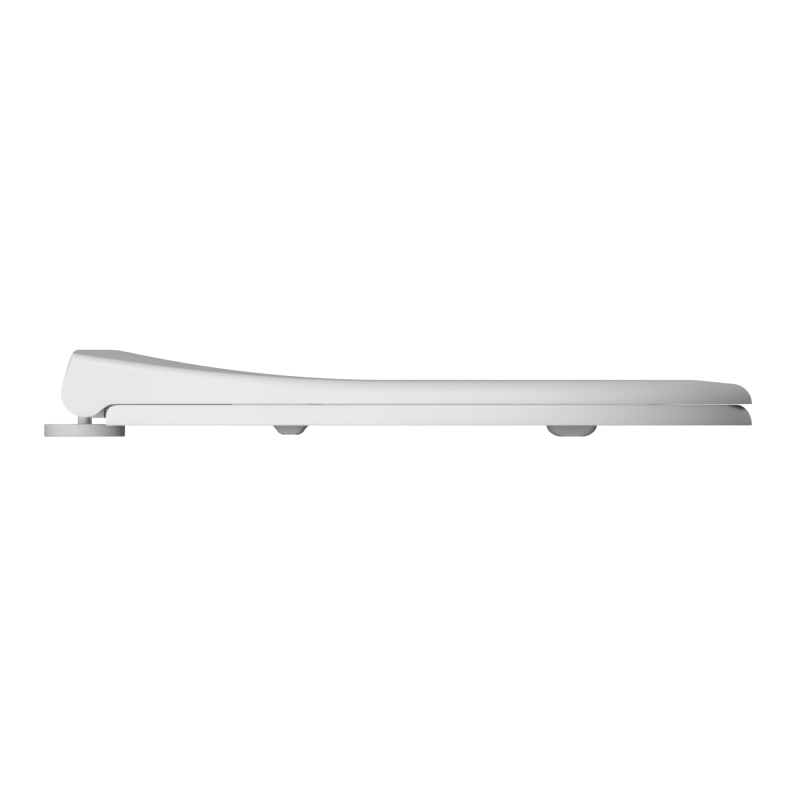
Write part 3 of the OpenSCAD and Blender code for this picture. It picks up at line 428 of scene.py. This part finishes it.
def build_lug(side):
    """One hinge lug of the seat, with its bore."""
    outline = lug_outline()
    bore = PIN_BORE if side > 0 else BUSH_BORE
    angles = np.arctan2(outline[:, 1] - HINGE_Z, outline[:, 0] - HINGE_X)
    hole = np.column_stack([HINGE_X + bore * np.cos(angles), HINGE_Z + bore * np.sin(angles)])
    ends = (-BUSH_HIGH[1], -BUSH_LOW[1])
    verts = [(x, side * y, z) for y in ends for ring in (outline, hole) for x, z in ring]
    n = len(outline)
    faces = []
    for i in range(n):
        j = (i + 1) % n
        faces += [(i, j, n + j, n + i), (2 * n + i, 2 * n + j, 3 * n + j, 3 * n + i)]
        faces += [(i, j, 2 * n + j, 2 * n + i), (n + i, n + j, 3 * n + j, 3 * n + i)]
    lug = outward(new_piece("seat_lug_left" if side < 0 else "seat_lug_right", verts, faces, "seat"))
    round_edges(lug, 0.9, 3, 40)
    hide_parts("seat_top")
    return lug


# ---------- rubber and feet ----------


def build_bumper(name, node, wide, thick):
    """A pair of moulded rubber bumpers, narrower at the foot. wide holds (height share, length share)."""
    low, high = cad_box(node)
    centre_x, length = (low[0] + high[0]) / 2, high[0] - low[0]
    centre_y = high[1] - thick / 2
    angles = np.linspace(0, 2 * np.pi, 48, endpoint=False)
    across, aside = (np.sign(v) * np.abs(v) ** BOAT_POWER for v in (np.cos(angles), np.sin(angles)))
    levels = through(wide, 15)
    n = len(angles)
    verts, faces = [], []
    for side in (-1, 1):
        start = len(verts)
        for h, w in levels:
            ax, ay = length / 2 * w, thick / 2 * (BOAT_WAIST + (1 - BOAT_WAIST) * w)
            z = low[2] + (high[2] - low[2]) * min(max(h, 0), 1)
            verts += [(centre_x + ax * a, side * centre_y + ay * b, z) for a, b in zip(across, aside)]
        faces += [tuple(start + v for v in f) for f in grid_faces(len(levels), n, True)]
        faces += [tuple(range(start, start + n)), tuple(range(len(verts) - n, len(verts)))]
    piece = outward(new_piece(name, verts, faces, "seat"))
    round_edges(piece, 0.5, 3, 50)
    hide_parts(node)
    return piece


def build_feet():
    """The two foot discs: a rounded disc with a shallow groove round its top and a bolt hole."""
    top = DISC_HIGH[2]
    profile = [(BOLT_R, GASKET_T), (BOLT_R, top - POST_SEAT), (POST_R, top - POST_SEAT)]
    profile += [(POST_R, top - 0.4), (POST_R + 0.4, top)]
    profile += [(9.6, top), (10, top - 0.5), (11, top - 0.5), (11.4, top)]
    profile += arc(DISC_R - 1, top - 1, 1, 90, 0, 6)
    profile += arc(DISC_R - 0.7, 0.7, 0.7, 0, -90, 5)
    profile += [(DISC_R - GASKET_EDGE, 0), (DISC_R - GASKET_EDGE, GASKET_T)]
    verts, faces = [], []
    for side in (-1, 1):
        start = len(verts)
        points, quads = turned(profile, (0, side * POST_Y), 96)
        verts += points
        faces += [tuple(start + i for i in quad) for quad in quads]
    feet = outward(new_piece("foot_disc_pair", verts, faces, "root"))
    round_edges(feet, 0.15, 2, 35)
    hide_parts("foot_discs")
    return feet


# ---------- materials ----------


def add_node(tree, kind, **settings):
    """Adds a shader node and sets its properties or its inputs by name."""
    node = tree.nodes.new(kind)
    for key, value in settings.items():
        if hasattr(node, key):
            setattr(node, key, value)
        else:
            node.inputs[key].default_value = value
    return node


def new_material(name):
    """A new node material with its shader."""
    made = bpy.data.materials.new(name)
    made.use_nodes = True
    return made, made.node_tree.nodes["Principled BSDF"]


def surface(name, colour, rough, grain, bump, mottle, metal=0.0, coat=0.0, spread=0.06):
    """A procedural finish: colour that drifts a little, roughness that varies, and a fine moulded grain."""
    made, shader = new_material(name)
    tree, link = made.node_tree, made.node_tree.links
    place = add_node(tree, "ShaderNodeTexCoord")
    drift = add_node(tree, "ShaderNodeTexNoise", Scale=22.0, Detail=3.0, Roughness=0.6)
    fine = add_node(tree, "ShaderNodeTexNoise", Scale=grain, Detail=4.0, Roughness=0.65)
    for noise in (drift, fine):
        link.new(place.outputs["Object"], noise.inputs["Vector"])
    tint = add_node(tree, "ShaderNodeValToRGB")
    dark, pale = tint.color_ramp.elements
    dark.position, pale.position = 0.35, 0.65
    dark.color = (*(c * (1 - mottle) for c in colour), 1)
    pale.color = (*colour, 1)
    link.new(drift.outputs["Fac"], tint.inputs["Fac"])
    link.new(tint.outputs["Color"], shader.inputs["Base Color"])
    sheen = add_node(tree, "ShaderNodeMapRange")
    sheen.inputs["From Min"].default_value, sheen.inputs["From Max"].default_value = 0.3, 0.7
    sheen.inputs["To Min"].default_value = max(rough - spread, 0.02)
    sheen.inputs["To Max"].default_value = rough + spread
    link.new(fine.outputs["Fac"], sheen.inputs["Value"])
    link.new(sheen.outputs["Result"], shader.inputs["Roughness"])
    relief = add_node(tree, "ShaderNodeBump", Strength=bump, Distance=0.0004)
    link.new(fine.outputs["Fac"], relief.inputs["Height"])
    link.new(relief.outputs["Normal"], shader.inputs["Normal"])
    shader.inputs["Metallic"].default_value = metal
    shader.inputs["Coat Weight"].default_value = coat
    shader.inputs["Coat Roughness"].default_value = 0.06
    return made


# Colour, roughness, grain scale, grain height, mottle, and what else sets the finish apart
LOOKS = {
    "gloss_white": ((0.80, 0.81, 0.825), 0.22, 260.0, 0.02, 0.012, dict(coat=0.35, spread=0.03)),
    "satin_white": ((0.79, 0.80, 0.81), 0.42, 1400.0, 0.10, 0.02, {}),
    "bumper_rubber": ((0.60, 0.615, 0.63), 0.62, 1800.0, 0.25, 0.08, {}),
    "gasket_rubber": ((0.16, 0.165, 0.17), 0.75, 1500.0, 0.3, 0.15, {}),
    "pale_grey": ((0.60, 0.615, 0.63), 0.38, 1300.0, 0.10, 0.03, {}),
    "mid_grey": ((0.20, 0.21, 0.22), 0.45, 1200.0, 0.16, 0.08, {}),
    "bush_plastic": ((0.62, 0.59, 0.50), 0.4, 900.0, 0.08, 0.05, {}),
    "steel": ((0.62, 0.63, 0.64), 0.28, 2200.0, 0.08, 0.06, dict(metal=1.0)),
    "tank_plastic": ((0.66, 0.61, 0.50), 0.4, 700.0, 0.12, 0.06, {}),
    "tube_silicone": ((0.55, 0.62, 0.68), 0.34, 500.0, 0.06, 0.05, {}),
    "board_green": ((0.02, 0.13, 0.06), 0.35, 300.0, 0.25, 0.3, {}),
    "heating_foil": ((0.72, 0.45, 0.20), 0.3, 600.0, 0.2, 0.15, dict(metal=0.8)),
    "dark_window": ((0.012, 0.013, 0.016), 0.08, 200.0, 0.01, 0.2, dict(coat=1.0, spread=0.02)),
    "carbon_filter": ((0.03, 0.03, 0.032), 0.85, 900.0, 0.9, 0.5, {}),
}
FINISHES = {slot: surface(slot, *look, **extra) for slot, (*look, extra) in LOOKS.items()}


def dress(piece, slot):
    """Gives a new piece its finish."""
    piece.data.materials.clear()
    piece.data.materials.append(FINISHES[slot])


def dress_cad():
    """Gives each CAD node that stays its finish and softly rounded edges."""
    for entry in frame["record"]["subparts"]:
        node = frame["nodes"][entry["node"]]
        if node.hide_render:
            continue
        for place in node.material_slots:
            place.material = FINISHES[entry["material_slot"]]
        weld = node.modifiers.new("join", "WELD")
        weld.merge_threshold = 2e-6
        round_edges(node, 0.25, 2, 32)


# ---------- stage, in metres ----------

FLOOR_REACH, FLOOR_Z = 40.0, -0.0003
KEY_FROM = (0.0, -0.94, 0.33)               # towards the main light
GLINT_FROM = (-0.42, -0.9, 0.0)             # towards the small light that makes the lid's bright streak
BACK_FROM = (-0.35, 0.66, 0.68)             # towards the weaker light above and behind
LAMP_AIM, LAMP_AZIMUTH, LAMP_AWAY = (0.06, -0.17, 0.026), math.radians(27), 0.9
CAMERA_SPAN, CAMERA_LENS, CAMERA_SENSOR = 0.5213, 1600.0, 36.0
CAMERA_X, CENTRE_Z, EYE_Z = 0.2054, 0.0239, 0.004


def build_floor():
    """A plain pale floor that shades the object's light as little as a sweep of paper does."""
    mesh = bpy.data.meshes.new("floor")
    corners = [(x * FLOOR_REACH, y * FLOOR_REACH, FLOOR_Z) for x, y in ((-1, -1), (1, -1), (1, 1), (-1, 1))]
    mesh.from_pydata(corners, [], [(0, 1, 2, 3)])
    floor = bpy.data.objects.new("floor", mesh)
    bpy.context.scene.collection.objects.link(floor)
    made, shader = new_material("floor_paper")
    shader.inputs["Base Color"].default_value = (0.9, 0.9, 0.9, 1)
    shader.inputs["Roughness"].default_value = 0.9
    shader.inputs["Specular IOR Level"].default_value = 0.0
    shader.inputs["Emission Color"].default_value = (1, 1, 1, 1)
    shader.inputs["Emission Strength"].default_value = 0.78
    mesh.materials.append(made)
    floor.visible_diffuse = False
    floor.visible_glossy = False
    floor.visible_shadow = False


def background(tree, colour, strength):
    """An even background of one colour."""
    return add_node(tree, "ShaderNodeBackground", Color=(*colour, 1), Strength=strength).outputs["Background"]


def lobe(tree, toward, exponent, strength):
    """Background light that is strongest from one direction and fades evenly all round from it."""
    link = tree.links
    place = add_node(tree, "ShaderNodeTexCoord")
    facing = add_node(tree, "ShaderNodeVectorMath", operation="DOT_PRODUCT")
    facing.inputs[1].default_value = Vector(toward).normalized()
    half = add_node(tree, "ShaderNodeMapRange")
    half.inputs["From Min"].default_value = -1
    half.inputs["From Max"].default_value = 1
    falloff = add_node(tree, "ShaderNodeMath", operation="POWER")
    falloff.inputs[1].default_value = exponent
    power = add_node(tree, "ShaderNodeMath", operation="MULTIPLY")
    power.inputs[1].default_value = strength
    soft = add_node(tree, "ShaderNodeBackground")
    link.new(place.outputs["Generated"], facing.inputs[0])
    link.new(facing.outputs["Value"], half.inputs["Value"])
    link.new(half.outputs["Result"], falloff.inputs[0])
    link.new(falloff.outputs["Value"], power.inputs[0])
    link.new(power.outputs["Value"], soft.inputs["Strength"])
    return soft.outputs["Background"]


def build_world():
    """Soft light from in front, above and behind, and a white backdrop behind the object."""
    world = bpy.data.worlds.new("studio")
    bpy.context.scene.world = world
    world.use_nodes = True
    tree = world.node_tree
    tree.nodes.clear()
    light = lobe(tree, KEY_FROM, 7.0, 2.05)
    others = (lobe(tree, BACK_FROM, 4.0, 0.72), lobe(tree, GLINT_FROM, 90.0, 1.3))
    for other in (*others, background(tree, (0.75, 0.88, 1.0), 0.015)):
        both = add_node(tree, "ShaderNodeAddShader")
        tree.links.new(light, both.inputs[0])
        tree.links.new(other, both.inputs[1])
        light = both.outputs["Shader"]
    ray = add_node(tree, "ShaderNodeLightPath")
    mix = add_node(tree, "ShaderNodeMixShader")
    out = add_node(tree, "ShaderNodeOutputWorld")
    tree.links.new(ray.outputs["Is Camera Ray"], mix.inputs["Fac"])
    tree.links.new(light, mix.inputs[1])
    tree.links.new(background(tree, (1, 1, 1), 1.05), mix.inputs[2])
    tree.links.new(mix.outputs["Shader"], out.inputs["Surface"])


def build_lamp():
    """A soft box at the rear left, so that the light falls off a little towards the nose."""
    lamp = bpy.data.lights.new("side_box", "AREA")
    lamp.shape = "RECTANGLE"
    lamp.size, lamp.size_y = 0.5, 0.3
    lamp.energy = 2.6
    box = bpy.data.objects.new("side_box", lamp)
    away = Vector((-math.sin(LAMP_AZIMUTH), -math.cos(LAMP_AZIMUTH), -0.02)).normalized()
    box.location = Vector(LAMP_AIM) + away * LAMP_AWAY
    box.rotation_mode = "QUATERNION"
    box.rotation_quaternion = away.to_track_quat("Z", "Y")
    box.visible_camera = False
    box.visible_glossy = False
    bpy.context.scene.collection.objects.link(box)


def build_camera():
    """A long lens level with the floor, looking straight at the left side."""
    data = bpy.data.cameras.new("camera")
    data.sensor_width = CAMERA_SENSOR
    data.lens = CAMERA_LENS
    data.shift_y = (CENTRE_Z - EYE_Z) / CAMERA_SPAN
    data.clip_start, data.clip_end = 0.1, 80.0
    camera = bpy.data.objects.new("camera", data)
    camera.location = (CAMERA_X, -CAMERA_SPAN * CAMERA_LENS / CAMERA_SENSOR, EYE_Z)
    camera.rotation_euler = (math.radians(90), 0, 0)
    bpy.context.scene.collection.objects.link(camera)
    bpy.context.scene.camera = camera


build_camera()
dress(build_lid(), "gloss_white")
dress(build_seat(), "gloss_white")
for lug_side in (-1, 1):
    dress(build_lug(lug_side), "gloss_white")
dress(build_bumper("front_bumper_pair", "front_bumpers", FRONT_BOAT, 16.0), "bumper_rubber")
dress(build_bumper("rear_bumper_pair", "rear_bumpers", REAR_BOAT, 12.0), "bumper_rubber")
dress(build_feet(), "satin_white")
dress_cad()
build_floor()
build_world()
build_lamp()
bpy.context.scene.view_settings.view_transform = "Standard"
